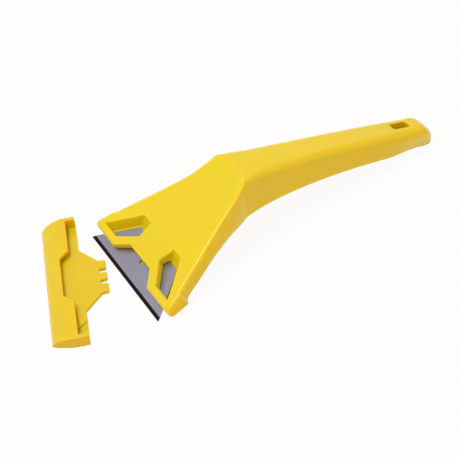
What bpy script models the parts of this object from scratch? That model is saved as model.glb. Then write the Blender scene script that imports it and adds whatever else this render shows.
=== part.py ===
"""A small safety window scraper and the guard that covers its blade.

One hollow yellow moulding is the flat head and the bent handle. A trapezoid utility
blade slides into a slot at the front of the head and shows through two windows and a
bay. The blade guard, a yellow channel with a tongue and three tabs, lies beside it.

Metres, +Z up. The origin is on the table, under the middle of the cutting edge, and
+X runs towards the end of the handle. The scraper rests on its cutting edge and on a
small flat under the handle's end. The guard lies flat.
"""
import math

import bmesh
import bpy
from mathutils import Matrix, Vector

# Blade, ground on both faces along its long edge.
BLADE_LENGTH = 0.062
BLADE_BACK_LENGTH = 0.0326
BLADE_DEPTH = 0.019
BLADE_THICKNESS = 0.00065
BLADE_GRIND_WIDTH = 0.0016
BLADE_EDGE_LAND = 0.00006
BLADE_HOLE_DIAMETER = 0.0024
BLADE_HOLE_SETBACK = 0.0101
BLADE_SHOWS = 0.0049
BLADE_TILT = math.radians(21.8)
BLADE_CLEARANCE = 0.0003

# Head. Its widths are taken over the top edge, from the front corner to the knee.
HEAD_FRONT_WIDTH = 0.0656
HEAD_FRONT_ROUND = 0.0016
HEAD_STEP_WIDTH = 0.0612
HEAD_BACK_WIDTH = 0.0594
HEAD_SWELL = 0.0018
HEAD_TILT = math.radians(25.2)
HEAD_TOP_RISE = 0.0034
HEAD_EDGE_RADIUS = 0.0016
BLOCK_DEPTH = 0.009
BLOCK_FLARE = 0.0016
BLOCK_FRONT_DROP = 0.0004
BLOCK_BACK_DROP = 0.003
STEP_RUN = 0.0021
FLAT_RUN = 0.0255
WALL_DROP = 0.0028
JAW_THICKNESS = 0.0014
JAW_SETBACK = 0.0034
BACK_STOP_THICKNESS = 0.0058

# Bay in the front edge and the window at each side of it.
BAY_WIDTH = 0.0322
BAY_INNER_WIDTH = 0.0178
BAY_DEPTH = 0.006
WINDOW_FRONT_SETBACK = 0.0037
WINDOW_LENGTH = 0.0149
WINDOW_FRONT_OUT = 0.0284
WINDOW_FRONT_IN = 0.0185
WINDOW_SIDE_IN = 0.0091
WINDOW_SIDE_SETBACK = 0.0114
WINDOW_BACK_IN = 0.0103
WINDOW_BACK_OUT = 0.0162
WINDOW_SIDE_DRAFT = 0.0003
WINDOW_LEDGE_WIDTH = 0.001
WINDOW_BACK_SLOPE = 0.0038
LIP_RADIUS = 0.0008

# Knee and handle.
KNEE_REACH = 0.0544
KNEE_HEIGHT = 0.0332
KNEE_WIDTH = 0.024
KNEE_CROWN = 0.0028
KNEE_CROWN_FADE = 0.013
KNEE_ROUND = 0.0012
KNEE_EDGE_RADIUS = 0.002
HANDLE_REACH = 0.1599
HANDLE_END_WIDTH = 0.0128
HANDLE_EDGE_RADIUS = 0.0035
END_LENGTH = 0.01
END_TOP_HEIGHT = 0.0136
END_TIP_HEIGHT = 0.0014
FOOT_LENGTH = 0.0035
FOOT_WIDTH = 0.0062
FOOT_TAPER_LENGTH = 0.025
FOOT_SETBACK = 0.0019
WALL_THICKNESS = 0.0022
TOP_THICKNESS = 0.0024
WALL_DRAFT = 0.0005
END_SOLID_LENGTH = 0.0092
HANG_HOLE_LENGTH = 0.0092
HANG_HOLE_WIDTH = 0.0046
HANG_HOLE_RADIUS = 0.0014
HANG_HOLE_SETBACK = 0.0172
RIB_THICKNESS = 0.0014
RIB_DEPTH = 0.0022

# Blade guard. Across is from the nose to the tabs, along is its long way.
GUARD_LENGTH = 0.0726
GUARD_FRONT_LENGTH = 0.0682
GUARD_END_BOW = 0.0011
GUARD_WIDTH = 0.0152
GUARD_HEIGHT = 0.0055
GUARD_FLOOR = 0.0018
GUARD_POCKET_FLOOR = 0.00095
GUARD_LEDGE_MARGIN = 0.0029
GUARD_ROOF = 0.0016
GUARD_END_WALL = 0.0019
GUARD_NOSE_WALL = 0.0024
GUARD_NOSE_RISE = 0.0011
GUARD_NOSE_RUN = 0.0105
GUARD_SLIT_RISE = 0.0007
GUARD_ROOF_REACH = 0.01095
GUARD_NOTCH_REACH = 0.0069
GUARD_NOTCH_WIDTH = 0.023
GUARD_NOTCH_SLANT = 0.004
TONGUE_BASE_WIDTH = 0.0368
TONGUE_TIP_WIDTH = 0.0192
TONGUE_REACH = 0.0228
TONGUE_EDGE_RADIUS = 0.0006
TAB_REACH = 0.0257
TAB_GAP = 0.0023
TAB_MIDDLE_WIDTH = 0.0044
TAB_ROUND = 0.0009
GUARD_PLACE = (-0.02978, 0.01292)
GUARD_TURN = math.radians(-20.1)

CUT_OVERRUN = 0.004
WELD_DISTANCE = 0.000005
TWIST_LIMIT = math.radians(0.05)

# Pulls and places of the side view's lines, as shares of the spans that they run over.
SCOOP_START_SHARE = 0.6
SCOOP_END_SHARES = (0.15, 0.33)
ARCH_TOP_SHARES = (0.03, 0.449)
ARCH_START_SHARE = 0.184
ARCH_END_SHARES = (0.594, 0.08)
RIM_REACH_SHARES = (0.33, 0.66)
RIM_HEIGHT_SHARES = (0.98, 0.68)
SIDE_START_SHARES = (0.95, 1.1)
SIDE_END_SHARES = (0.3, 0.29)
BACK_REACH_SHARES = (0.15, 0.538)
BACK_HEIGHT_SHARES = (1, 0.555)
GRIP_REACH_SHARES = (0.127, 0.2)
GRIP_WIDTH_SHARES = (0.5, 0.25)
TOP_SHARES = (0, 0.45, 1)
END_FALL_POWER = 1.5
RIB_END_SHARE = 0.1
NOSE_REACH_SHARES = (0.08, 0.5)
NOSE_HEIGHT_SHARES = (0.55, 1)
STEP_SHARES = (0.25, 0.6)
FOOT_SHARES = (0.4, 0.75, 1)
BLOCK_FLARE_START_SHARE = 0.5
CORNER_LIMIT_SHARE = 0.56
LIP_LIFT_SHARE = 0.1

# How finely the smooth lines are stepped.
BLOCK_STATIONS = 3
FLAT_STATIONS = 3
KNEE_STATIONS = 8
HANDLE_STATIONS = 18
END_STATIONS = 4
TIP_STATIONS = 5
TIP_LAST_ANGLE = math.radians(80)
CORNER_STEPS = 5
SIDE_STEPS = 4
LIP_STEPS = 3
RIDGE_STEPS = 4
LINE_STEPS = 60
NOSE_STEPS = 8
BOW_STEPS = 8
HOLE_STEPS = 32
ROUND_STEPS = 4

# Places that follow from the sizes above.
EDGE_LIFT = BLADE_EDGE_LAND / 2 * math.cos(BLADE_TILT)
BLADE_FRAME = Matrix.Translation((0, 0, EDGE_LIFT)) @ Matrix.Rotation(-BLADE_TILT, 4, "Y")
HEAD_FRAME = Matrix.Translation((0, 0, EDGE_LIFT)) @ Matrix.Rotation(-HEAD_TILT, 4, "Y")
GUARD_FRAME = Matrix.Translation((*GUARD_PLACE, 0)) @ Matrix.Rotation(GUARD_TURN, 4, "Z")
STAND_UP = Matrix.Rotation(math.radians(90), 4, "X")
FACE_ALONG = Matrix.Rotation(math.radians(90), 4, "Z") @ STAND_UP
HEAD_RUN = Vector((math.cos(HEAD_TILT), math.sin(HEAD_TILT)))
KNEE = Vector((KNEE_REACH, KNEE_HEIGHT))
BACK_END = Vector((HANDLE_REACH - END_LENGTH, END_TOP_HEIGHT))
FOOT_END = HANDLE_REACH - FOOT_SETBACK
FOOT_START = FOOT_END - FOOT_LENGTH
BLOCK_END = BLADE_SHOWS + BLOCK_DEPTH
WALL_START = BLOCK_END + STEP_RUN
FLAT_END = BLADE_SHOWS + FLAT_RUN
SLOT_HALF = BLADE_THICKNESS / 2 + BLADE_CLEARANCE
SLOT_END = BLADE_DEPTH + BLADE_CLEARANCE
SIDE_SLOPE = (BLADE_LENGTH - BLADE_BACK_LENGTH) / 2 / BLADE_DEPTH
CAVITY_START = SLOT_END + BACK_STOP_THICKNESS


def fresh_scene():
    """Empty the scene and make a collection for the parts and one for the cutters."""
    for item in list(bpy.data.objects):
        bpy.data.objects.remove(item, do_unlink=True)
    made = []
    for name in ("window_scraper", "cutters"):
        group = bpy.data.collections.new(name)
        bpy.context.scene.collection.children.link(group)
        made.append(group)
    return made


def material(name, colour, roughness, metallic):
    """One plain surface with a colour, a roughness and a metallic value."""
    made = bpy.data.materials.new(name)
    made.use_nodes = True
    surface = made.node_tree.nodes["Principled BSDF"]
    surface.inputs["Base Color"].default_value = (*colour, 1.0)
    surface.inputs["Roughness"].default_value = roughness
    surface.inputs["Metallic"].default_value = metallic
    return made


def add_object(name, mesh, group):
    """Put a mesh in the scene as an object of one of the two collections."""
    made = bpy.data.objects.new(name, mesh)
    group.objects.link(made)
    if group.name.startswith("cutters"):
        made.hide_render = True
        made.display_type = "WIRE"
    return made


def plate(name, outline, low, high, frame, group):
    """A flat outline in a frame's X and Y, thickened along its Z from low to high."""
    curve = bpy.data.curves.new(name, "CURVE")
    curve.dimensions = "2D"
    curve.fill_mode = "BOTH"
    curve.extrude = (high - low) / 2
    spline = curve.splines.new("POLY")
    spline.points.add(len(outline) - 1)
    for point, (x, y) in zip(spline.points, outline):
        point.co = (x, y, 0, 1)
    spline.use_cyclic_u = True
    flat = bpy.data.objects.new(name, curve)
    bpy.context.scene.collection.objects.link(flat)
    shape = flat.evaluated_get(bpy.context.evaluated_depsgraph_get())
    mesh = bpy.data.meshes.new_from_object(shape)
    bpy.data.objects.remove(flat, do_unlink=True)
    bpy.data.curves.remove(curve)
    edit = bmesh.new()
    edit.from_mesh(mesh)
    bmesh.ops.remove_doubles(edit, verts=edit.verts, dist=WELD_DISTANCE)
    bmesh.ops.translate(edit, verts=edit.verts, vec=(0, 0, (high + low) / 2))
    bmesh.ops.recalc_face_normals(edit, faces=edit.faces)
    edit.to_mesh(mesh)
    edit.free()
    made = add_object(name, mesh, group)
    made.matrix_world = frame
    return made


def loft(name, loops, frame, group, fan=False):
    """A closed solid through loops of equally many points, with flat or fanned ends."""
    edit = bmesh.new()
    edges = []
    rings = []
    for loop in loops:
        ring = [edit.verts.new(point) for point in loop]
        rings.append(ring)
        edges.append([edit.edges.new(pair) for pair in zip(ring, ring[1:] + ring[:1])])
    for here, there in zip(edges, edges[1:]):
        bmesh.ops.bridge_loops(edit, edges=here + there)
    ends = [edit.faces.new(ring) for ring in (rings[0], rings[-1])]
    if fan:
        bmesh.ops.poke(edit, faces=ends)
    bmesh.ops.connect_verts_nonplanar(edit, angle_limit=TWIST_LIMIT, faces=edit.faces)
    bmesh.ops.recalc_face_normals(edit, faces=edit.faces)
    mesh = bpy.data.meshes.new(name)
    edit.to_mesh(mesh)
    edit.free()
    made = add_object(name, mesh, group)
    made.matrix_world = frame
    return made


def combine(target, other, operation):
    """Cut, join or trim one object with another."""
    step = target.modifiers.new(operation.lower() + "_" + other.name, "BOOLEAN")
    step.operation = operation
    step.solver = "EXACT"
    step.object = other


def blend(start, end, share):
    """A value or point part of the way from one to another."""
    return start + (end - start) * share


def bezier(start, pull_start, pull_end, end, steps):
    """Points on a smooth line between two ends, drawn by two pulling points."""
    line = []
    for index in range(steps + 1):
        share = index / steps
        first = blend(start, pull_start, share)
        middle = blend(pull_start, pull_end, share)
        last = blend(pull_end, end, share)
        line.append(blend(blend(first, middle, share), blend(middle, last, share), share))
    return line


def height_at(line, x):
    """Height of a line at a reach, between its two nearest points."""
    for here, there in zip(line, line[1:]):
        if here.x <= x <= there.x:
            return blend(here.y, there.y, (x - here.x) / (there.x - here.x))
    return line[0].y if x < line[0].x else line[-1].y


def from_edge(depth, rise):
    """Side view point by its depth along the head and its rise, from the cutting edge."""
    off = Vector((-HEAD_RUN.y, HEAD_RUN.x))
    return HEAD_RUN * depth + off * rise + Vector((0, EDGE_LIFT))


def scoop_line():
    """Top line of the head from its flat run up to the ridge of the knee."""
    start = from_edge(FLAT_END, HEAD_TOP_RISE)
    span = KNEE - start
    pull_start = start + HEAD_RUN * (span.x * SCOOP_START_SHARE)
    pull_end = KNEE - Vector((span.x * SCOOP_END_SHARES[0], span.y * SCOOP_END_SHARES[1]))
    return bezier(start, pull_start, pull_end, KNEE, KNEE_STATIONS)


def back_line():
    """Top line of the handle from the knee to where the rounded end starts."""
    span = BACK_END - KNEE
    pulls = []
    for reach, height in zip(BACK_REACH_SHARES, BACK_HEIGHT_SHARES):
        pulls.append(Vector((KNEE.x + span.x * reach, BACK_END.y - span.y * height)))
    return bezier(KNEE, *pulls, BACK_END, LINE_STEPS)


def rim_line():
    """Lower edge of the walls, from the head's straight run over the arch to the foot."""
    start = from_edge(FLAT_END, -WALL_DROP)
    foot = Vector((FOOT_START, 0))
    run = foot.x - KNEE.x
    top = Vector((KNEE.x + run * ARCH_TOP_SHARES[0], KNEE.y * ARCH_TOP_SHARES[1]))
    span = top - start
    pull_start = start + HEAD_RUN * (span.x * ARCH_START_SHARE)
    pull_end = Vector((start.x + span.x * ARCH_END_SHARES[0], top.y - span.y * ARCH_END_SHARES[1]))
    line = bezier(start, pull_start, pull_end, top, LINE_STEPS)
    pulls = []
    for reach, height in zip(RIM_REACH_SHARES, RIM_HEIGHT_SHARES):
        pulls.append(Vector((blend(top.x, foot.x, reach), top.y * height)))
    return line + bezier(top, *pulls, foot, LINE_STEPS)[1:]


def grip_line():
    """Half widths of the handle against reach, from the knee to the rounded end."""
    start = Vector((KNEE.x, KNEE_WIDTH / 2))
    end = Vector((BACK_END.x, HANDLE_END_WIDTH / 2))
    span = start - end
    pulls = []
    for reach, width in zip(GRIP_REACH_SHARES, GRIP_WIDTH_SHARES):
        pulls.append(Vector((start.x - span.x * reach, end.y + span.y * width)))
    return bezier(start, *pulls, end, LINE_STEPS)


def side_line():
    """Half widths of the head against reach, from behind its front block to the knee."""
    start = Vector((from_edge(WALL_START, HEAD_TOP_RISE).x, HEAD_BACK_WIDTH / 2))
    end = Vector((KNEE.x, KNEE_WIDTH / 2))
    span = end - start
    pull_start = start + Vector((span.x * SIDE_START_SHARES[0], span.y * SIDE_START_SHARES[1]))
    pull_end = end - Vector((span.x * SIDE_END_SHARES[0], span.y * SIDE_END_SHARES[1]))
    return bezier(start, pull_start, pull_end, end, LINE_STEPS)


SCOOP = scoop_line()
BACK = back_line()
RIM = rim_line()
GRIP = grip_line()
SIDE = side_line()


def rim_half_width(x):
    """Half width over the walls' rims, which swell outwards between block and knee."""
    share = (x - SIDE[0].x) / (KNEE.x - SIDE[0].x)
    swell = HEAD_SWELL * max(0, 4 * share * (1 - share))
    return height_at(SIDE if x < KNEE.x else GRIP, x) + WALL_DRAFT + swell


def edge_radius(x):
    """Radius of the top's edge: small on the head, growing over the knee to the handle."""
    if x < KNEE.x:
        share = max(0, (x - SCOOP[0].x) / (KNEE.x - SCOOP[0].x))
        return blend(HEAD_EDGE_RADIUS, KNEE_EDGE_RADIUS, share)
    return blend(KNEE_EDGE_RADIUS, HANDLE_EDGE_RADIUS, min(1, (x - KNEE.x) / KNEE_CROWN_FADE))


def crown_at(x):
    """How far the ridge bows towards the handle at a reach near the knee."""
    share = max(0, 1 - abs(x - KNEE.x) / KNEE_CROWN_FADE)
    return KNEE_CROWN * share * share


def block_station(depth, half, lowered=0):
    """Side view points and half widths of the front block at a depth."""
    share = (depth - BLADE_SHOWS) / BLOCK_DEPTH
    drop = blend(BLOCK_FRONT_DROP, BLOCK_BACK_DROP, share)
    top = from_edge(depth, HEAD_TOP_RISE - lowered)
    flare = BLOCK_FLARE * blend(BLOCK_FLARE_START_SHARE, 1, share)
    return top, from_edge(depth, -drop), half, half + flare, HEAD_EDGE_RADIUS


def flat_station(depth):
    """Side view points and half widths of the flat head behind its front block."""
    top = from_edge(depth, HEAD_TOP_RISE)
    rim = from_edge(depth, -WALL_DROP)
    return top, rim, height_at(SIDE, top.x), rim_half_width(rim.x), HEAD_EDGE_RADIUS


def low_half_width(x):
    """Half width over the handle's rims, which taper smoothly to the foot."""
    share = min(1, max(0, 1 - (FOOT_START - x) / FOOT_TAPER_LENGTH))
    return blend(rim_half_width(x), FOOT_WIDTH / 2, share * share * (3 - 2 * share))


def handle_station(x):
    """Side view points and half widths of the handle at a reach."""
    top = Vector((x, height_at(BACK, x)))
    rim = Vector((x, height_at(RIM, x)))
    return top, rim, height_at(GRIP, x), low_half_width(x), edge_radius(x)


def end_station(x):
    """The handle's rounded end, down to its flat foot and then up to its tip."""
    share = (x - BACK_END.x) / END_LENGTH
    fall = math.sqrt(1 - share * share)
    top = Vector((x, blend(END_TIP_HEIGHT, BACK_END.y, fall ** END_FALL_POWER)))
    past = max(0, x - FOOT_END) / FOOT_SETBACK
    lift = END_TIP_HEIGHT * (1 - math.sqrt(1 - past * past))
    rim = Vector((x, height_at(RIM, x) + lift))
    half = HANDLE_END_WIDTH / 2 * fall
    foot = low_half_width(x) * min(1, fall / foot_fall())
    radius = min(HANDLE_EDGE_RADIUS, CORNER_LIMIT_SHARE * half)
    return top, rim, half, foot, min(radius, CORNER_LIMIT_SHARE * (top.y - rim.y))


def foot_fall():
    """How much of its height and width the rounded end still has where its foot ends."""
    share = (FOOT_END - BACK_END.x) / END_LENGTH
    return math.sqrt(1 - share * share)


def block_stations():
    """Stations of the front block, with its rounded front edge and corners."""
    stations = []
    for index in range(LIP_STEPS):
        angle = math.pi / 2 * index / LIP_STEPS
        depth = BLADE_SHOWS + HEAD_FRONT_ROUND * (1 - math.cos(angle))
        lowered = HEAD_FRONT_ROUND * (1 - math.sin(angle))
        stations.append(block_station(depth, HEAD_FRONT_WIDTH / 2 - lowered, lowered))
    for index in range(BLOCK_STATIONS + 1):
        share = index / BLOCK_STATIONS
        depth = blend(BLADE_SHOWS + HEAD_FRONT_ROUND, BLOCK_END, share)
        half = blend(HEAD_FRONT_WIDTH, HEAD_STEP_WIDTH, share) / 2
        stations.append(block_station(depth, half))
    return stations


def step_stations():
    """Stations of the hollow curve that leads from the front block in to the walls."""
    start = block_station(BLOCK_END, HEAD_STEP_WIDTH / 2)
    end = flat_station(WALL_START)
    stations = []
    for share in STEP_SHARES:
        places = [blend(before, after, share) for before, after in zip(start[:2], end[:2])]
        eased = share * (2 - share)
        sizes = [blend(before, after, eased) for before, after in zip(start[2:], end[2:])]
        stations.append((*places, *sizes))
    return stations


def flat_stations(start):
    """Stations of the flat head from a depth to where the scoop starts."""
    shares = [index / FLAT_STATIONS for index in range(FLAT_STATIONS + 1)]
    return [flat_station(blend(start, FLAT_END, share)) for share in shares]


def knee_stations():
    """Stations up the scoop, from the flat head to just before the knee's ridge."""
    stations = []
    for index, top in enumerate(SCOOP[1:-1], 1):
        share = index / KNEE_STATIONS
        x = blend(RIM[0].x, KNEE.x, share)
        rim = Vector((x, height_at(RIM, x)))
        half = height_at(SIDE, top.x)
        stations.append((top, rim, half, rim_half_width(x), edge_radius(top.x)))
    return stations


def ridge_stations():
    """Stations over the rounded ridge of the knee."""
    before = KNEE - (SCOOP[-1] - SCOOP[-2]).normalized() * KNEE_ROUND
    after = KNEE + (BACK[1] - BACK[0]).normalized() * KNEE_ROUND
    stations = []
    for index in range(RIDGE_STEPS):
        share = index / RIDGE_STEPS
        top = blend(blend(before, KNEE, share), blend(KNEE, after, share), share)
        half = height_at(SIDE if top.x < KNEE.x else GRIP, top.x)
        rim = Vector((top.x, height_at(RIM, top.x)))
        stations.append((top, rim, half, rim_half_width(top.x), edge_radius(top.x)))
    return stations


def handle_stations(end):
    """Stations along the handle from behind the knee's ridge to a reach."""
    start = KNEE.x + KNEE_ROUND
    shares = [index / HANDLE_STATIONS for index in range(HANDLE_STATIONS + 1)]
    return [handle_station(blend(start, end, share)) for share in shares]


def end_stations():
    """Stations of the rounded end: down to the foot, over it and round to the tip."""
    places = []
    for index in range(1, END_STATIONS + 1):
        places.append(blend(BACK_END.x, FOOT_START, index / END_STATIONS))
    places += [blend(FOOT_START, FOOT_END, share) for share in FOOT_SHARES]
    for index in range(1, TIP_STATIONS + 1):
        places.append(FOOT_END + FOOT_SETBACK * math.sin(TIP_LAST_ANGLE * index / TIP_STATIONS))
    return [end_station(x) for x in places]


def ring(station, wall=0, roof=0, overrun=0):
    """One loop of the moulding or, with a wall and a roof, of the hollow in it."""
    top, rim, half_top, half_rim, radius = station
    down = (rim - top).normalized()
    height = (rim - top).length
    if wall:
        half_rim -= wall
        half_top = min(half_top - wall, half_rim)
        radius = min(radius, CORNER_LIMIT_SHARE * half_top)
    swell = half_rim - half_top
    turn = math.pi / 2 - math.atan2(2 * max(0, swell), height)
    flat = half_top - radius * math.tan(turn / 2)
    side = [(flat * share, roof) for share in TOP_SHARES]
    for index in range(1, CORNER_STEPS + 1):
        angle = turn * index / CORNER_STEPS
        side.append((flat + radius * math.sin(angle), roof + radius * (1 - math.cos(angle))))
    begin = side[-1][1] / height
    for index in range(1, SIDE_STEPS + 1):
        share = blend(begin, 1, index / SIDE_STEPS)
        drawn = share * (2 - share) if swell > 0 else share * share
        side.append((half_top + swell * drawn, height * share))
    if overrun:
        side.append((half_rim, height + overrun))
    side.append((0, height + overrun))
    loop = []
    for y, depth in side + [(-y, depth) for y, depth in reversed(side[1:-1])]:
        place = top + down * depth
        fade = (1 - depth / height) * max(0, 1 - (y / half_top) ** 2)
        loop.append((place.x + crown_at(top.x) * fade, y, place.y))
    return loop


def make_body(group):
    """The outside of the moulding, from the front of the head to the handle's end."""
    stations = block_stations() + step_stations() + flat_stations(WALL_START) + knee_stations()
    stations += ridge_stations() + handle_stations(BACK_END.x) + end_stations()
    return loft("handle", [ring(station) for station in stations], Matrix(), group, fan=True)


def make_hollow(group):
    """The space under the head and the handle, open downwards."""
    stations = flat_stations(CAVITY_START) + knee_stations() + ridge_stations()
    stations += handle_stations(HANDLE_REACH - END_SOLID_LENGTH)
    loops = [ring(station, WALL_THICKNESS, TOP_THICKNESS, CUT_OVERRUN) for station in stations]
    return loft("hollow", loops, Matrix(), group, fan=True)


def blade_half_width(depth, gap):
    """Half width of the blade at a depth, with a gap kept square to its slanted end."""
    return BLADE_LENGTH / 2 + gap * math.hypot(1, SIDE_SLOPE) - SIDE_SLOPE * depth


def mirrored(points):
    """An outline made of points and their mirror images across the middle."""
    return points + [(x, -y) for x, y in reversed(points)]


def make_slot_cutters(group):
    """The slot for the blade, and the open space below the blade's front."""
    front = -CUT_OVERRUN
    points = []
    for depth in (front, SLOT_END):
        points.append((depth, blade_half_width(depth, BLADE_CLEARANCE)))
    yield plate("slot", mirrored(points), -SLOT_HALF, SLOT_HALF, BLADE_FRAME, group)
    jaw = BLADE_SHOWS + JAW_SETBACK
    side = blade_half_width(BLADE_SHOWS, BLADE_CLEARANCE)
    low = -BLOCK_BACK_DROP - CUT_OVERRUN
    outline = mirrored([(front, side), (jaw, side)])
    yield plate("jaw_front", outline, low, -SLOT_HALF + WELD_DISTANCE, BLADE_FRAME, group)
    outline = mirrored([(front, side), (WALL_START, side)])
    yield plate("jaw_under", outline, low, -SLOT_HALF - JAW_THICKNESS, BLADE_FRAME, group)


def grown(outline, gap):
    """An outline with each side moved outwards by a gap. Its points run anticlockwise."""
    points = [Vector(point) for point in outline]
    moved = []
    for before, here, after in zip(points[-1:] + points[:-1], points, points[1:] + points[:1]):
        first = (here - before).normalized()
        second = (after - here).normalized()
        out = Vector((first.y + second.y, -first.x - second.x))
        moved.append(tuple(here + out * (gap / (1 + first.dot(second)))))
    return moved


def lipped(name, top, floor, group):
    """A cutter down to a floor whose mouth widens in a rounded lip at the head's top."""
    wide = grown(top, LIP_RADIUS)
    loops = [[(x, y, HEAD_TOP_RISE + CUT_OVERRUN) for x, y in wide]]
    for index in range(LIP_STEPS + 1):
        angle = math.pi / 2 * index / LIP_STEPS
        gap = LIP_RADIUS * (1 - math.sin(angle))
        high = HEAD_TOP_RISE - LIP_RADIUS * (1 - LIP_LIFT_SHARE - math.cos(angle))
        loops.append([(x, y, high) for x, y in grown(top, gap)])
    loops.append(floor)
    return loft(name, loops, HEAD_FRAME, group)


def make_bay_cutter(group):
    """The bay in the middle of the front edge, down to the blade."""
    points = [
        (BLADE_SHOWS + BAY_DEPTH, BAY_INNER_WIDTH / 2),
        (BLADE_SHOWS, BAY_WIDTH / 2),
        (BLADE_SHOWS - CUT_OVERRUN, BAY_WIDTH / 2),
    ]
    outline = mirrored(points)
    return lipped("bay", outline, [(x, y, 0) for x, y in outline], group)


def make_window_cutter(name, side, group):
    """One window: steep walls, a slope at its back and a ledge beyond the blade's end."""
    front = BLADE_SHOWS + WINDOW_FRONT_SETBACK
    middle = BLADE_SHOWS + WINDOW_SIDE_SETBACK
    back = front + WINDOW_LENGTH
    draft = WINDOW_SIDE_DRAFT
    low_front = front + draft
    low_back = back - WINDOW_BACK_SLOPE
    top = [
        (front, WINDOW_FRONT_OUT),
        (front, WINDOW_FRONT_IN),
        (middle, WINDOW_SIDE_IN),
        (back, WINDOW_BACK_IN),
        (back, WINDOW_BACK_OUT),
    ]
    ledge = BLADE_CLEARANCE + WINDOW_LEDGE_WIDTH
    bottom = [
        (low_front, blade_half_width(low_front, ledge)),
        (low_front, WINDOW_FRONT_IN),
        (middle, WINDOW_SIDE_IN + draft),
        (low_back, WINDOW_BACK_IN + draft),
        (low_back, blade_half_width(low_back, ledge)),
    ]
    slant = math.tan(HEAD_TILT - BLADE_TILT)
    floor = [(x, y, -BLADE_THICKNESS / 2 - x * slant) for x, y in bottom]
    if side < 0:
        top = [(x, -y) for x, y in reversed(top)]
        floor = [(x, -y, z) for x, y, z in reversed(floor)]
    return lipped(name, top, floor, group)


def make_hang_hole_cutter(group):
    """The slot near the handle's end that the scraper hangs by."""
    middle = HANDLE_REACH - HANG_HOLE_SETBACK
    outline = []
    for quarter in range(4):
        right = 1 if quarter in (0, 3) else -1
        up = 1 if quarter < 2 else -1
        x = middle + right * (HANG_HOLE_LENGTH / 2 - HANG_HOLE_RADIUS)
        y = up * (HANG_HOLE_WIDTH / 2 - HANG_HOLE_RADIUS)
        for index in range(ROUND_STEPS + 1):
            angle = math.pi / 2 * (quarter + index / ROUND_STEPS)
            outline.append((x + HANG_HOLE_RADIUS * math.cos(angle), y + HANG_HOLE_RADIUS * math.sin(angle)))
    return plate("hang_hole", outline, END_TIP_HEIGHT + CUT_OVERRUN, KNEE_HEIGHT, Matrix(), group)


def make_rib(name, y, group):
    """One long rib under the head, sunk into the plate above it."""
    line = [from_edge(SLOT_END, HEAD_TOP_RISE)] + SCOOP
    end = blend(KNEE.x, BACK_END.x, RIB_END_SHARE)
    line.append(Vector((end, height_at(BACK, end))))
    high = TOP_THICKNESS / 2
    low = TOP_THICKNESS + RIB_DEPTH
    outline = []
    for index, point in enumerate(line):
        before = line[max(index - 1, 0)]
        after = line[min(index + 1, len(line) - 1)]
        run = (after - before).normalized()
        outline.append((point, Vector((run.y, -run.x))))
    upper = [point + down * high for point, down in outline]
    lower = [point + down * low for point, down in reversed(outline)]
    place = Matrix.Translation((0, y, 0)) @ STAND_UP
    half = RIB_THICKNESS / 2
    return plate(name, [tuple(point) for point in upper + lower], -half, half, place, group)


def make_handle(parts, cutters):
    """The whole moulding: head, handle, slot, bay, windows, hollow and ribs."""
    handle = make_body(parts)
    for cutter in make_slot_cutters(cutters):
        combine(handle, cutter, "DIFFERENCE")
    combine(handle, make_bay_cutter(cutters), "DIFFERENCE")
    for name, side in (("window_far", 1), ("window_near", -1)):
        combine(handle, make_window_cutter(name, side, cutters), "DIFFERENCE")
    combine(handle, make_hang_hole_cutter(cutters), "DIFFERENCE")
    hollow = make_hollow(cutters)
    rib_place = (TAB_MIDDLE_WIDTH + TAB_GAP) / 2
    for name, side in (("rib_far", 1), ("rib_near", -1)):
        combine(hollow, make_rib(name, rib_place * side, cutters), "DIFFERENCE")
    combine(handle, hollow, "DIFFERENCE")
    return handle


def make_blade(parts, cutters):
    """The trapezoid blade with its middle hole and its two ground faces."""
    half = BLADE_THICKNESS / 2
    land = BLADE_EDGE_LAND / 2
    loops = []
    for depth, thick in ((0, land), (BLADE_GRIND_WIDTH, half), (BLADE_DEPTH, half)):
        y = blade_half_width(depth, 0)
        loops.append([(depth, y, -thick), (depth, y, thick), (depth, -y, thick), (depth, -y, -thick)])
    blade = loft("blade", loops, BLADE_FRAME, parts)
    edit = bmesh.new()
    bmesh.ops.create_cone(
        edit,
        cap_ends=True,
        segments=HOLE_STEPS,
        radius1=BLADE_HOLE_DIAMETER / 2,
        radius2=BLADE_HOLE_DIAMETER / 2,
        depth=CUT_OVERRUN,
    )
    mesh = bpy.data.meshes.new("blade_hole")
    edit.to_mesh(mesh)
    edit.free()
    hole = add_object("blade_hole", mesh, cutters)
    hole.matrix_world = BLADE_FRAME @ Matrix.Translation((BLADE_HOLE_SETBACK, 0, 0))
    combine(blade, hole, "DIFFERENCE")
    return blade


def guard_nose(setback, low, high):
    """Section line of the nose, from its blunt front up to the flat roof."""
    start = Vector((setback, low))
    end = Vector((setback + GUARD_NOSE_RUN, high))
    pulls = []
    for reach, height in zip(NOSE_REACH_SHARES, NOSE_HEIGHT_SHARES):
        pulls.append(Vector((setback + GUARD_NOSE_RUN * reach, blend(low, high, height))))
    return [tuple(point) for point in bezier(start, *pulls, end, NOSE_STEPS)]


def guard_plan(wall):
    """Plan of the channel inside a wall: both ends bow outwards and narrow to the nose."""
    points = [(-CUT_OVERRUN, GUARD_FRONT_LENGTH / 2 - wall)]
    for index in range(BOW_STEPS + 1):
        share = index / BOW_STEPS
        half = blend(GUARD_FRONT_LENGTH, GUARD_LENGTH, share) / 2
        half += GUARD_END_BOW * 4 * share * (1 - share)
        points.append((GUARD_WIDTH * share, half - wall))
    points.append((GUARD_WIDTH + CUT_OVERRUN, GUARD_LENGTH / 2 - wall))
    return mirrored(points)


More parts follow.
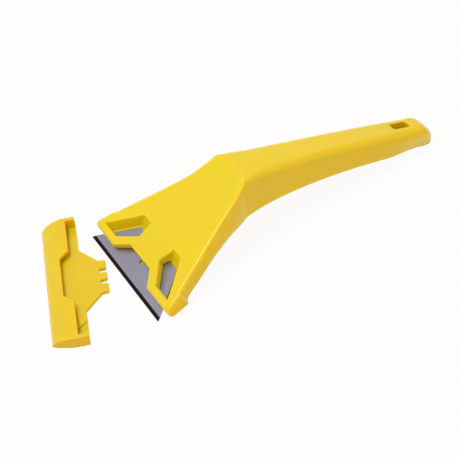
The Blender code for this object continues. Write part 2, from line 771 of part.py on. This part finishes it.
def make_pocket_cutter(name, side, group):
    """The low pocket at one end, in front of a ledge that is slanted like the blade."""
    seat = GUARD_NOSE_WALL + BLADE_CLEARANCE
    reach = GUARD_WIDTH + 2 * CUT_OVERRUN
    ledge = []
    for across in (seat, reach):
        ledge.append((across, blade_half_width(across - seat, 0) + GUARD_LEDGE_MARGIN))
    outline = [(x, y * side) for x, y in ledge + [(reach, GUARD_LENGTH / 2)]]
    high = GUARD_FLOOR + GUARD_SLIT_RISE
    return plate(name, outline, GUARD_POCKET_FLOOR, high, GUARD_FRAME, group)


def make_guard(parts, cutters):
    """The blade guard: nose channel, end walls, notched roof, pockets and tongue."""
    half = GUARD_LENGTH / 2 + GUARD_END_BOW
    high = GUARD_HEIGHT + CUT_OVERRUN
    outside = [(GUARD_WIDTH, 0), (0, 0)] + guard_nose(0, GUARD_NOSE_RISE, GUARD_HEIGHT)
    outside.append((GUARD_WIDTH, GUARD_HEIGHT))
    guard = plate("blade_guard", outside, -half, half, GUARD_FRAME @ STAND_UP, parts)
    plan = plate("guard_plan", guard_plan(0), -CUT_OVERRUN, high, GUARD_FRAME, cutters)
    combine(guard, plan, "INTERSECT")

    reach = GUARD_WIDTH + 2 * CUT_OVERRUN
    under = GUARD_HEIGHT - GUARD_ROOF
    inside = [(reach, GUARD_FLOOR), (GUARD_NOSE_WALL, GUARD_FLOOR)]
    inside += guard_nose(GUARD_NOSE_WALL, GUARD_FLOOR + GUARD_SLIT_RISE, under)
    inside.append((reach, under))
    channel = plate("channel", inside, -half, half, GUARD_FRAME @ STAND_UP, cutters)

    notch = GUARD_NOTCH_WIDTH / 2
    opening = [
        (reach, half),
        (GUARD_ROOF_REACH, half),
        (GUARD_ROOF_REACH, notch + GUARD_NOTCH_SLANT),
        (GUARD_NOTCH_REACH, notch),
    ]
    middle = GUARD_HEIGHT / 2
    roof_cut = plate("roof_cut", mirrored(opening), middle, high, GUARD_FRAME, cutters)
    combine(channel, roof_cut, "UNION")
    for name, side in (("pocket_far", 1), ("pocket_near", -1)):
        combine(channel, make_pocket_cutter(name, side, cutters), "UNION")
    room = plate("guard_room", guard_plan(GUARD_END_WALL), 0, high + CUT_OVERRUN, GUARD_FRAME, cutters)
    combine(channel, room, "INTERSECT")
    combine(guard, channel, "DIFFERENCE")
    combine(guard, make_tongue(cutters), "UNION")
    return guard


def quarter_round(x, y, start, radius):
    """Points of a quarter circle about a centre, clockwise from a start angle."""
    points = []
    for index in range(ROUND_STEPS + 1):
        angle = start - math.pi / 2 * index / ROUND_STEPS
        points.append((x + radius * math.cos(angle), y + radius * math.sin(angle)))
    return points


def make_tongue(group):
    """The tongue: slanted sides, two gaps, three tabs with round corners, soft top edge."""
    tip = TONGUE_TIP_WIDTH / 2
    tab = TAB_MIDDLE_WIDTH / 2
    end = TAB_REACH - TAB_ROUND
    gap = tab + TAB_GAP
    points = [
        (GUARD_WIDTH / 2, TONGUE_BASE_WIDTH / 2),
        (GUARD_WIDTH, TONGUE_BASE_WIDTH / 2),
        (TONGUE_REACH, tip),
    ]
    points += quarter_round(end, tip - TAB_ROUND, math.pi / 2, TAB_ROUND)
    points += quarter_round(end, gap + TAB_ROUND, 0, TAB_ROUND)
    points += [(TONGUE_REACH, gap), (TONGUE_REACH, tab)]
    points += quarter_round(end, tab - TAB_ROUND, math.pi / 2, TAB_ROUND)
    outline = list(reversed(mirrored(points)))
    loops = [[(x, y, 0) for x, y in outline]]
    for index in range(LIP_STEPS + 1):
        angle = math.pi / 2 * index / LIP_STEPS
        high = GUARD_FLOOR - TONGUE_EDGE_RADIUS * (1 - math.sin(angle))
        inset = TONGUE_EDGE_RADIUS * (1 - math.cos(angle))
        loops.append([(x, y, high) for x, y in grown(outline, -inset)])
    return loft("tongue", loops, GUARD_FRAME, group)


def main():
    parts, cutters = fresh_scene()
    yellow = material("yellow_moulded_plastic", (0.84, 0.64, 0.03), 0.42, 0.0)
    guard_yellow = material("yellow_guard_plastic", (0.84, 0.64, 0.03), 0.45, 0.0)
    steel = material("ground_blade_steel", (0.36, 0.35, 0.42), 0.3, 1.0)
    for part, surface in (
        (make_handle(parts, cutters), yellow),
        (make_blade(parts, cutters), steel),
        (make_guard(parts, cutters), guard_yellow),
    ):
        part.data.materials.append(surface)


main()
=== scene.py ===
# %% [markdown]
# # A small window scraper and its blade guard
#
# The real object is three pieces. A yellow moulding is the flat head and the bent handle.
# A steel utility blade sits in the head. A second yellow moulding, the guard, has been
# taken off and lies beside it. This lesson dresses a finished solid model of the three:
# it gives each its surface, lights them and sets the camera.

import math

import bmesh
import bpy
from mathutils import Matrix, Vector


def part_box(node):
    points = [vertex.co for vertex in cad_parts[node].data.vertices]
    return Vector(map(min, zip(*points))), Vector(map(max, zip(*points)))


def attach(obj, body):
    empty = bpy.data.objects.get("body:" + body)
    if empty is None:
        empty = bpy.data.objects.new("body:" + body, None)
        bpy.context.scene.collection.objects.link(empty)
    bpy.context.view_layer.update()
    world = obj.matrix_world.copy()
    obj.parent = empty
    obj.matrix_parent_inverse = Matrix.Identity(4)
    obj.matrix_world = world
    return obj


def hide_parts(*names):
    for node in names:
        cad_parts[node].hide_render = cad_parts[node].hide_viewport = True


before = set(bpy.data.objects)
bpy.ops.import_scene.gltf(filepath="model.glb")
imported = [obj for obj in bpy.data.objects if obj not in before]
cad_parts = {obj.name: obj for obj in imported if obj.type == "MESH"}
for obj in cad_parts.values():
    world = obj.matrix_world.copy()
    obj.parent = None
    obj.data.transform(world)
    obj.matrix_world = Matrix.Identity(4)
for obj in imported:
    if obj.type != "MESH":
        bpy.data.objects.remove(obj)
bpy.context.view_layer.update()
print("pieces in the solid model:", sorted(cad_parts))

# %% [markdown]
# Colours are written as six hex digits, as a picture editor shows them. A shader wants
# linear light, so one function converts them. A second function adds a shader node, sets
# its values and joins its inputs, so a material reads as a short list of steps.

# %% Colour and node helpers
MM = 0.001


def linear(hex_colour):
    """Six hex digits as a linear colour with full opacity."""
    parts = [int(hex_colour[i : i + 2], 16) / 255 for i in (0, 2, 4)]
    return [c / 12.92 if c <= 0.04045 else ((c + 0.055) / 1.055) ** 2.4 for c in parts] + [1.0]


def add(tree, kind, links=None, values=None, **settings):
    """Add one shader node with its settings, its values and its incoming links."""
    node = tree.nodes.new(kind)
    for name, value in settings.items():
        setattr(node, name, value)
    for name, value in (values or {}).items():
        node.inputs[name].default_value = value
    for name, output in (links or {}).items():
        tree.links.new(output, node.inputs[name])
    return node


def surface(name):
    """A new material, with its node tree and its main shader."""
    made = bpy.data.materials.new(name)
    made.use_nodes = True
    return made, made.node_tree, made.node_tree.nodes["Principled BSDF"]


print("yellow as linear light:", [round(c, 3) for c in linear("EAD22A")])

# %% [markdown]
# The photograph was taken from in front and from the left of the tool, about 42 degrees
# above the table. The camera's place and turn were found by matching known corners, so
# they are given here as the direction of the picture's right, up and back.

# %% Camera
CAMERA_PLACE = (-0.1175, -0.3427, 0.3463)
SENSOR_WIDTH = 36
LENS = 93.04
right = Vector((0.8592, -0.5052, -0.0805))
up = Vector((0.3926, 0.5503, 0.7369))
back = Vector((-0.3280, -0.6648, 0.6712))
turn = Matrix((right, up, back)).transposed()
camera_data = bpy.data.cameras.new("camera")
camera_data.sensor_width = SENSOR_WIDTH
camera_data.lens = LENS
camera_data.clip_start = 0.01
camera = bpy.data.objects.new("camera", camera_data)
camera.matrix_world = Matrix.Translation(CAMERA_PLACE) @ turn.to_4x4()
bpy.context.scene.collection.objects.link(camera)
bpy.context.scene.camera = camera
print("camera height above the table, mm:", round(camera.location.z / MM, 1))

# %% [markdown]
# The yellow is a coloured polypropylene or ABS, injection moulded against a smooth steel
# mould. That gives the eye a satin sheen, a very fine grain, and broad faint swirls where
# the melt flowed. Light goes up to about 3 mm into the plastic, red light furthest, which
# warms thin walls and shaded sides. Noise patterns on Object coordinates follow the real
# sizes: grain 0.35 mm, drawn coarser than the real 0.1 mm so that it shows, and flow marks
# 25 mm long. The guard's yellow is a little deeper than the handle's.

# %% Moulded yellow plastic
FLOW_MARK = 25 * MM
MOULD_GRAIN = 0.35 * MM
GRAIN_HEIGHT = 0.05 * MM
LIGHT_DEPTH = 3.0 * MM
PLASTIC_IOR = 1.45
SATIN = {"From Min": 0.3, "From Max": 0.7, "To Min": 0.2, "To Max": 0.26}


def moulded_plastic(name, deep, bright, seed):
    """Satin injection moulded plastic with flow marks and a fine mould grain.

    The seed moves the pattern, so that no two mouldings carry the same marks.
    """
    made, tree, shader = surface(name)
    place = add(tree, "ShaderNodeTexCoord")
    moved = add(
        tree,
        "ShaderNodeMapping",
        {"Vector": place.outputs["Object"]},
        {"Location": (seed, seed, seed)},
    )
    flow = add(
        tree,
        "ShaderNodeTexNoise",
        {"Vector": moved.outputs["Vector"]},
        {"Scale": 1 / FLOW_MARK, "Detail": 3.0, "Distortion": 0.6},
    )
    tone = add(
        tree,
        "ShaderNodeMix",
        {"Factor": flow.outputs["Fac"]},
        {"A": linear(deep), "B": linear(bright)},
        data_type="RGBA",
    )
    tree.links.new(tone.outputs["Result"], shader.inputs["Base Color"])
    grain = add(
        tree,
        "ShaderNodeTexNoise",
        {"Vector": moved.outputs["Vector"]},
        {"Scale": 1 / MOULD_GRAIN, "Detail": 2.0},
    )
    gloss = add(tree, "ShaderNodeMapRange", {"Value": flow.outputs["Fac"]}, SATIN)
    tree.links.new(gloss.outputs["Result"], shader.inputs["Roughness"])
    relief = add(
        tree,
        "ShaderNodeBump",
        {"Height": grain.outputs["Fac"]},
        {"Strength": 0.06, "Distance": GRAIN_HEIGHT},
    )
    tree.links.new(relief.outputs["Normal"], shader.inputs["Normal"])
    shader.inputs["IOR"].default_value = PLASTIC_IOR
    shader.inputs["Specular IOR Level"].default_value = 0.35
    shader.inputs["Subsurface Weight"].default_value = 1.0
    shader.inputs["Subsurface Radius"].default_value = (1.0, 0.4, 0.08)
    shader.inputs["Subsurface Scale"].default_value = LIGHT_DEPTH
    return made


handle_plastic = moulded_plastic("moulded_yellow_plastic", "E5D612", "EADC16", 0.0)
guard_plastic = moulded_plastic("moulded_yellow_guard_plastic", "E4CC0E", "E9D212", 0.3)
print("plastics:", handle_plastic.name, guard_plastic.name)

# %% [markdown]
# The blade is hardened carbon steel, ground flat on its faces and then ground again along
# its long edge. The face is a slightly violet grey with fine lines from the wheel, 0.2 mm
# apart, under an uneven film of oil. The edge bevel is 1.6 mm wide. Its near-black colour is
# painted dark reflection, standing in for what the tilted bevel reflects. A Mapping node lays
# the pattern along the blade's own plane, and the distance from the cutting edge picks the
# face colour or the painted dark of the bevel, with a soft change 0.2 mm wide.

# %% Ground blade steel
BLADE_TILT = math.radians(21.8)
BEVEL = 1.6 * MM
BEVEL_BLUR = 0.1 * MM
WHEEL_LINE = 0.2 * MM
LINE_HEIGHT = 0.02 * MM
OIL_PATCH = 9 * MM
GROUND = {"From Min": 0.3, "From Max": 0.7, "To Min": 0.28, "To Max": 0.42}


def ground_steel(name):
    """Ground and oiled blade steel, with painted dark reflection on the bevel along its
    cutting edge.
    """
    made, tree, shader = surface(name)
    place = add(tree, "ShaderNodeTexCoord")
    flat = add(
        tree,
        "ShaderNodeMapping",
        {"Vector": place.outputs["Object"]},
        {"Rotation": (0, BLADE_TILT, 0)},
    )
    parts = add(tree, "ShaderNodeSeparateXYZ", {"Vector": flat.outputs["Vector"]})
    # 0 on the bevel, which gets the painted dark reflection, and 1 on the ground face.
    face = add(
        tree,
        "ShaderNodeMapRange",
        {"Value": parts.outputs["X"]},
        {"From Min": BEVEL - BEVEL_BLUR, "From Max": BEVEL + BEVEL_BLUR},
    )
    squeezed = add(
        tree,
        "ShaderNodeMapping",
        {"Vector": flat.outputs["Vector"]},
        {"Scale": (0.04, 1.0, 0.04)},
    )
    lines = add(
        tree,
        "ShaderNodeTexNoise",
        {"Vector": squeezed.outputs["Vector"]},
        {"Scale": 1 / WHEEL_LINE, "Detail": 2.0},
    )
    film = add(
        tree,
        "ShaderNodeTexNoise",
        {"Vector": flat.outputs["Vector"]},
        {"Scale": 1 / OIL_PATCH, "Detail": 2.0},
    )
    face_tone = add(
        tree,
        "ShaderNodeMix",
        {"Factor": film.outputs["Fac"]},
        {"A": linear("8A8492"), "B": linear("96909E")},
        data_type="RGBA",
    )
    # The bevel's near-black colour A is painted dark reflection, standing in for what its
    # tilted face reflects.
    tone = add(
        tree,
        "ShaderNodeMix",
        {"Factor": face.outputs["Result"], "B": face_tone.outputs["Result"]},
        {"A": linear("1E1B1E")},
        data_type="RGBA",
    )
    tree.links.new(tone.outputs["Result"], shader.inputs["Base Color"])
    gloss = add(tree, "ShaderNodeMapRange", {"Value": lines.outputs["Fac"]}, GROUND)
    tree.links.new(gloss.outputs["Result"], shader.inputs["Roughness"])
    relief = add(
        tree,
        "ShaderNodeBump",
        {"Height": lines.outputs["Fac"]},
        {"Strength": 0.15, "Distance": LINE_HEIGHT},
    )
    tree.links.new(relief.outputs["Normal"], shader.inputs["Normal"])
    shader.inputs["Metallic"].default_value = 1.0
    return made


blade_steel = ground_steel("ground_oiled_steel_with_painted_bevel_reflection")
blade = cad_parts["blade"]
blade.data.materials.clear()
blade.data.materials.append(blade_steel)
low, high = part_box("blade")
print("blade across, mm:", round((high.y - low.y) / MM, 1))

# %% [markdown]
# A moulding has no truly sharp edges, because the mould's cutter and the cooling plastic
# both round them. The solid model's faces are loose triangles, so a copy is merged, its
# flat faces are joined, and a small bevel is asked for where it is still sharp. The bevel
# is clamped so that it never folds over itself, and the shortest edges hold it to 0.03 mm
# on the guard and 0.004 mm on the handle, far less than asked. So the rounds that show are
# those of the solid. Weighted normals keep the large faces flat beside the small ones.

# %% Merged copies of the two mouldings
WELD = 0.02 * MM
SHORTEST_EDGE = 0.05 * MM
FLAT_WITHIN = math.radians(0.2)
SHARP_FROM = math.radians(34)
HANDLE_ROUNDING = 0.3 * MM
GUARD_ROUNDING = 0.5 * MM


def moulding(name, node, body, finish, rounding):
    """A merged and slightly bevelled copy of a solid, standing in for it."""
    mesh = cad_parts[node].data.copy()
    edit = bmesh.new()
    edit.from_mesh(mesh)
    bmesh.ops.remove_doubles(edit, verts=edit.verts, dist=WELD)
    bmesh.ops.dissolve_degenerate(edit, dist=SHORTEST_EDGE, edges=edit.edges)
    bmesh.ops.dissolve_limit(
        edit, angle_limit=FLAT_WITHIN, verts=edit.verts, edges=edit.edges
    )
    for face in edit.faces:
        face.smooth = True
    sharp = 0
    for edge in edit.edges:
        edge.smooth = not edge.is_manifold or edge.calc_face_angle() < SHARP_FROM
        sharp += not edge.smooth
    edit.to_mesh(mesh)
    edit.free()
    mesh.name = name
    mesh.materials.clear()
    mesh.materials.append(finish)
    piece = bpy.data.objects.new(name, mesh)
    bpy.context.scene.collection.objects.link(piece)
    round_off = piece.modifiers.new("rounded_edges", "BEVEL")
    round_off.width = rounding
    round_off.segments = 3
    round_off.limit_method = "ANGLE"
    round_off.angle_limit = SHARP_FROM
    round_off.use_clamp_overlap = True
    round_off.miter_outer = "MITER_ARC"
    even = piece.modifiers.new("flat_faces", "WEIGHTED_NORMAL")
    even.keep_sharp = False
    even.weight = 50
    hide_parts(node)
    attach(piece, body)
    print(name, "faces:", len(mesh.polygons), "sharp edges:", sharp)


moulding(
    "handle_moulding", "handle", "handle", handle_plastic, HANDLE_ROUNDING
)
moulding(
    "guard_moulding", "blade_guard", "guard", guard_plastic, GUARD_ROUNDING
)

# %% [markdown]
# The table is a plain sheet of white paper. To the camera, to mirror-like reflections and
# through clear parts, 93 parts in 100 of its brightness are its own light. The rest is real
# light, so a faint soft shadow still shows. Every other ray meets plain matt paper.

# %% White table
TABLE_HALF_WIDTH = 4.0
TABLE_DROP = 0.05 * MM
OWN_LIGHT = 0.93


def seen_directly(tree):
    """1 for camera, glossy and transmission rays, 0 for the rays that light a surface."""
    seen = add(tree, "ShaderNodeLightPath")
    either = add(
        tree,
        "ShaderNodeMath",
        {0: seen.outputs["Is Camera Ray"], 1: seen.outputs["Is Glossy Ray"]},
        operation="MAXIMUM",
    )
    every = add(
        tree,
        "ShaderNodeMath",
        {0: either.outputs["Value"], 1: seen.outputs["Is Transmission Ray"]},
        operation="MAXIMUM",
    )
    return every.outputs["Value"]


def white_table(name):
    """Matt white paper: most of its brightness to the camera is its own."""
    made, tree, shader = surface(name)
    shader.inputs["Base Color"].default_value = linear("F4F4F4")
    shader.inputs["Roughness"].default_value = 0.9
    own = add(tree, "ShaderNodeEmission", None, {"Color": (1, 1, 1, 1), "Strength": 1.0})
    mixed = add(
        tree,
        "ShaderNodeMath",
        {0: seen_directly(tree)},
        {1: OWN_LIGHT},
        operation="MULTIPLY",
    )
    both = add(
        tree,
        "ShaderNodeMixShader",
        {0: mixed.outputs["Value"], 1: shader.outputs["BSDF"], 2: own.outputs["Emission"]},
    )
    tree.links.new(both.outputs["Shader"], tree.nodes["Material Output"].inputs["Surface"])
    return made


edit = bmesh.new()
bmesh.ops.create_grid(edit, x_segments=8, y_segments=8, size=TABLE_HALF_WIDTH)
table_mesh = bpy.data.meshes.new("table")
edit.to_mesh(table_mesh)
edit.free()
table_mesh.transform(Matrix.Translation((0, 0, -TABLE_DROP)))
table_mesh.materials.append(white_table("matt_white_paper"))
table = bpy.data.objects.new("table", table_mesh)
bpy.context.scene.collection.objects.link(table)
print("table width, m:", 2 * TABLE_HALF_WIDTH)

# %% [markdown]
# Soft studio light comes from a bright room and one soft lamp overhead. The room is a
# little warm and the lamp a little green, because in the photograph faces turned away from
# the lamp are more orange than the top.

# %% Room and lamp
ROOM_LIGHT = 0.74
LAMP_PLACE = (-0.26, 0.1, 1.06)
LAMP_AIM = (0.06, 0.0, 0.0)
LAMP_WIDTH = 0.3
LAMP_POWER = 5.6
world = bpy.data.worlds.new("bright_room")
bpy.context.scene.world = world
world.use_nodes = True
tree = world.node_tree
tree.nodes.clear()
room = add(
    tree, "ShaderNodeBackground", None, {"Color": linear("FFD6CE"), "Strength": ROOM_LIGHT}
)
plain = add(tree, "ShaderNodeBackground", None, {"Color": (1, 1, 1, 1), "Strength": 1.0})
both = add(
    tree,
    "ShaderNodeMixShader",
    {0: seen_directly(tree), 1: room.outputs[0], 2: plain.outputs[0]},
)
add(tree, "ShaderNodeOutputWorld", {"Surface": both.outputs["Shader"]})


def soft_lamp(name, place, size, power, colour):
    """A round soft lamp, aimed at the middle of the tool."""
    data = bpy.data.lights.new(name, "AREA")
    data.shape = "DISK"
    data.size = size
    data.energy = power
    data.color = linear(colour)[:3]
    made = bpy.data.objects.new(name, data)
    made.location = place
    away = made.location - Vector(LAMP_AIM)
    made.rotation_euler = away.to_track_quat("Z", "Y").to_euler()
    bpy.context.scene.collection.objects.link(made)
    print(name, "power, W:", power)


soft_lamp("overhead_lamp", LAMP_PLACE, LAMP_WIDTH, LAMP_POWER, "EAFFF0")
bpy.context.scene.view_settings.view_transform = "Standard"
